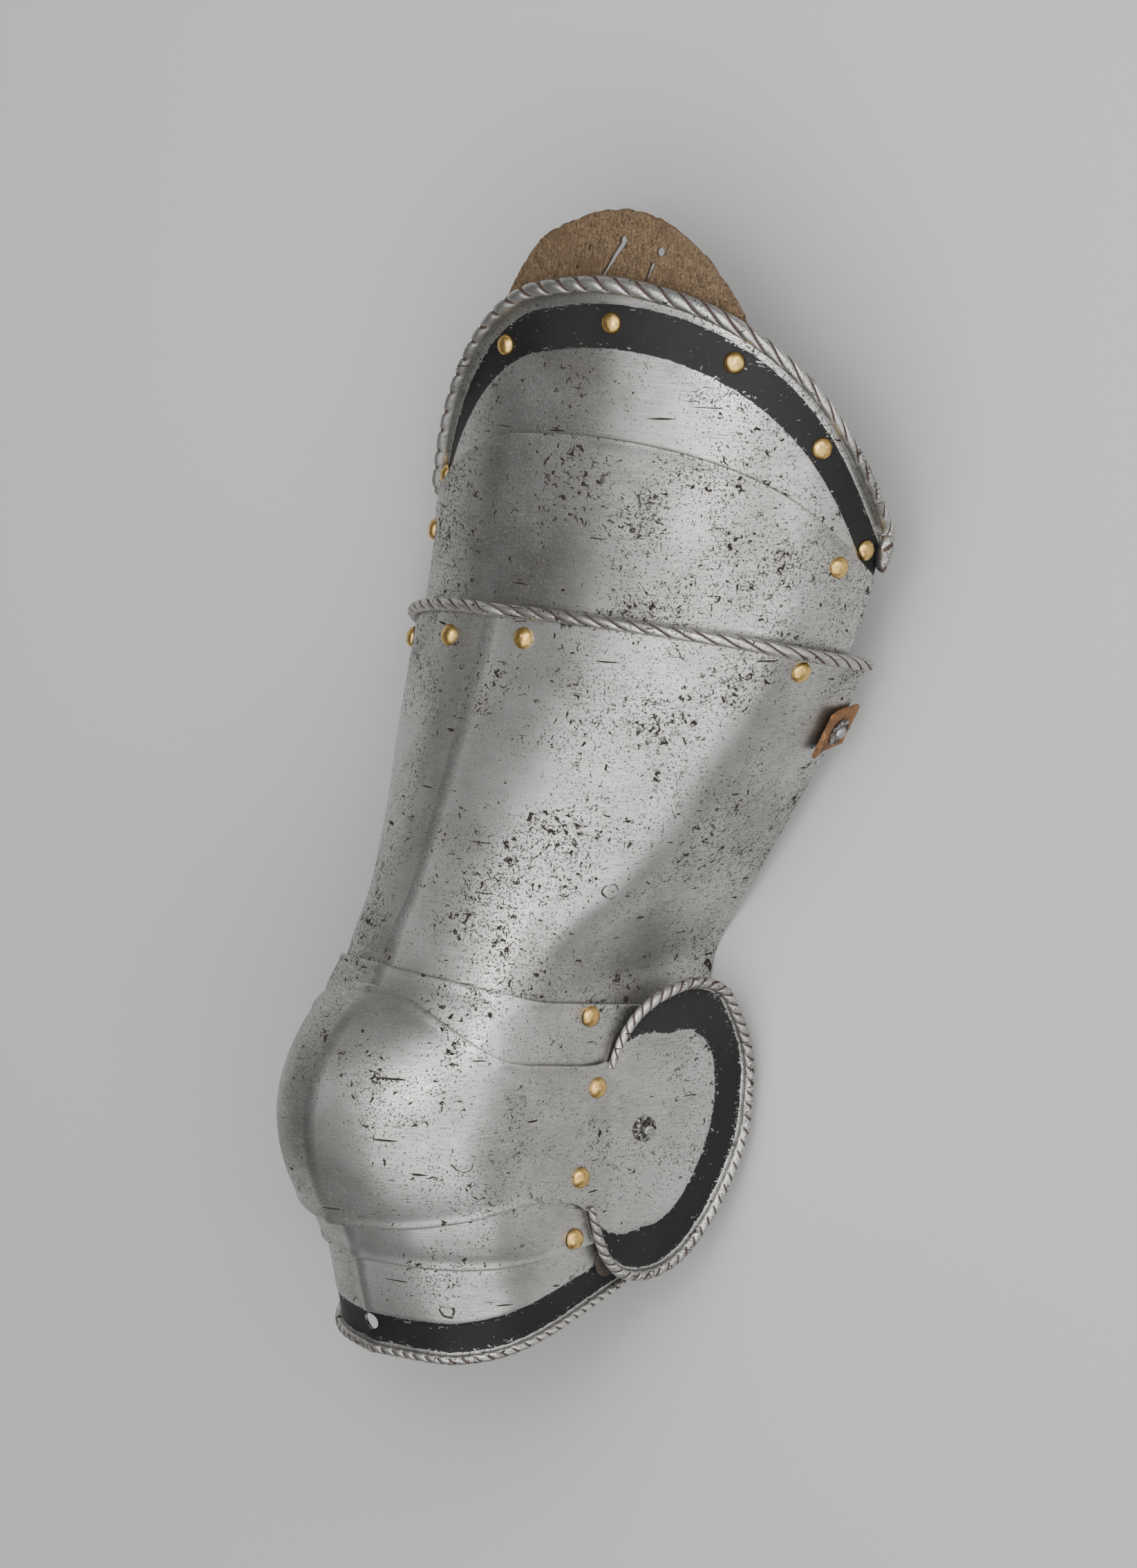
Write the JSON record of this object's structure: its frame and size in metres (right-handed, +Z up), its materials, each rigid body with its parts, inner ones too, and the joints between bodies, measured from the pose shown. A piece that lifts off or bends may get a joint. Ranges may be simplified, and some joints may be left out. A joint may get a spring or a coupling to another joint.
{
  "type": "cuisse with poleyn",
  "caption": "Thigh armour of overlapping riveted steel plates with a domed knee cop, round side wing, roped edges and a leather hip tab, for a left leg.",
  "frame": {"origin": "on the floor, under the centre of the bounding box of the leg as it lies on its back edges", "axes": "+Y up the leg from knee to hip, +X towards the outer side of the leg, +Z up from the floor, on the side of the pressed ridge"},
  "size_m": [0.259, 0.5104, 0.1526],
  "materials": {
    "steel": "brushed and lightly pitted, with matte black painted bands along the hip rim, in the wing and along the bottom rim",
    "brass": "worn, dull polish",
    "leather": "old, dry and fibrous",
    "dark_leather": "dark, matte"
  },
  "bodies": {
    "cuisse": {"cuisse_plate": "steel", "second_plate": "steel", "hip_pivot_outer": "brass", "hip_pivot_inner": "brass", "cuisse_rivet_1": "brass", "cuisse_rivet_2": "brass", "cuisse_rivet_3": "brass", "cuisse_rivet_4": "brass", "strap_stub": "leather", "strap_washer": "steel", "strap_rivet": "steel"},
    "hip_plate": {"hip_plate": "steel", "hip_leather": "leather", "lining_rivet_1": "brass", "lining_rivet_2": "brass", "lining_rivet_3": "brass", "lining_rivet_4": "brass", "lining_rivet_5": "brass", "lining_rivet_6": "brass"},
    "upper_lame": {"upper_lame": "steel", "lame_pivot_outer": "brass", "lame_pivot_inner": "brass"},
    "knee_cop": {"knee_cop": "steel", "cop_pivot_outer": "brass", "cop_pivot_inner": "brass", "lower_pivot_outer": "brass", "lower_pivot_inner": "brass", "wing_washer": "steel", "wing_pin": "steel"},
    "lower_lame": {"lower_lame": "steel", "shin_pivot_outer": "brass", "shin_pivot_inner": "brass"},
    "shin_plate": {"shin_plate": "steel", "shin_rosette": "dark_leather"}
  },
  "joints": [
    {"name": "hip_hinge", "type": "hinge", "parent": "cuisse", "child": "hip_plate", "pos_m": [0.11294, 0.10462, 0.06635], "axis": [-0.9787, 0.0023, -0.2053], "range_deg": [-1, 5]},
    {"name": "lame_hinge", "type": "hinge", "parent": "cuisse", "child": "upper_lame", "pos_m": [-0.0528, -0.097, 0.05011], "axis": [0.9125, -0.0332, 0.4078], "range_deg": [-5, 12]},
    {"name": "cop_hinge", "type": "hinge", "parent": "upper_lame", "child": "knee_cop", "pos_m": [-0.05166, -0.12969, 0.04488], "axis": [0.9125, -0.0332, 0.4078], "range_deg": [-5, 12]},
    {"name": "lower_hinge", "type": "hinge", "parent": "knee_cop", "child": "lower_lame", "pos_m": [-0.05624, -0.16939, 0.0519], "axis": [0.9125, -0.0332, 0.4078], "range_deg": [-5, 12]},
    {"name": "shin_hinge", "type": "hinge", "parent": "lower_lame", "child": "shin_plate", "pos_m": [-0.05726, -0.19758, 0.05189], "axis": [0.9125, -0.0332, 0.4078], "range_deg": [-5, 12]}
  ]
}
